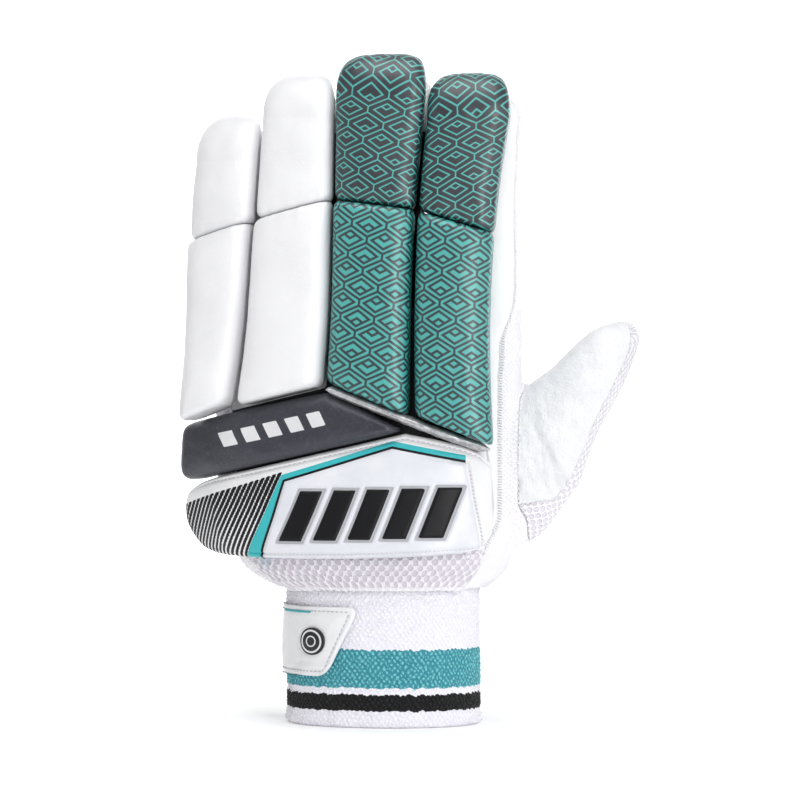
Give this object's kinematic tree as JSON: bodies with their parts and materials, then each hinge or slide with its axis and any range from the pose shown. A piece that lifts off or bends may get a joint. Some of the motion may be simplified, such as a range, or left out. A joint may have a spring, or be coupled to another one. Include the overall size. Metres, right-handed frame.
{
  "type": "cricket batting glove",
  "caption": "Padded batting glove for the left hand with finger rolls, knuckle bar, backhand guard, mesh sides, leather palm and thumb, and a knitted cuff.",
  "frame": {"origin": "middle of the model's footprint box on the surface it stands on, at the level of the cuff's hem", "axes": "+Z from the hem towards the fingertips, -Y out of the padded back of the hand, +X towards the thumb"},
  "size_m": [0.1826, 0.069, 0.2674],
  "materials": {
    "palm_leather": "soft white leather",
    "white_cover": "smooth white coated fabric with a soft sheen",
    "coarse_mesh": "white net with coarse holes",
    "fine_mesh": "white fine mesh",
    "teal_print": "teal coated fabric with a dark printed lattice",
    "dark_print": "near-black coated fabric with a teal printed lattice",
    "grey_cover": "dark grey coated fabric with a satin sheen",
    "silver_piping": "metallic silver coated fabric",
    "cuff_knit": "knobbly white towelling knit with a teal and a black band",
    "badge_black": "satin black with a pale ring"
  },
  "bodies": {
    "root": {"palm_panel": "palm_leather", "back_panel": "white_cover", "skirt_mesh": "coarse_mesh", "gusset_outer": "fine_mesh", "fourchette_little": "fine_mesh", "fourchette_ring": "fine_mesh", "fourchette_middle": "fine_mesh", "gusset_inner": "fine_mesh", "thumb_leather": "palm_leather", "thumb_mesh": "coarse_mesh", "little_base_pad": "white_cover", "little_tip_pad": "white_cover", "ring_base_pad": "white_cover", "ring_tip_pad": "white_cover", "middle_base_pad": "teal_print", "middle_tip_pad": "dark_print", "index_base_pad": "teal_print", "index_tip_pad": "dark_print", "knuckle_bar": "grey_cover", "backhand_guard": "white_cover", "knuckle_piping": "silver_piping", "wrist_cuff": "cuff_knit", "wrist_strap": "white_cover", "strap_badge": "badge_black"}
  },
  "joints": []
}
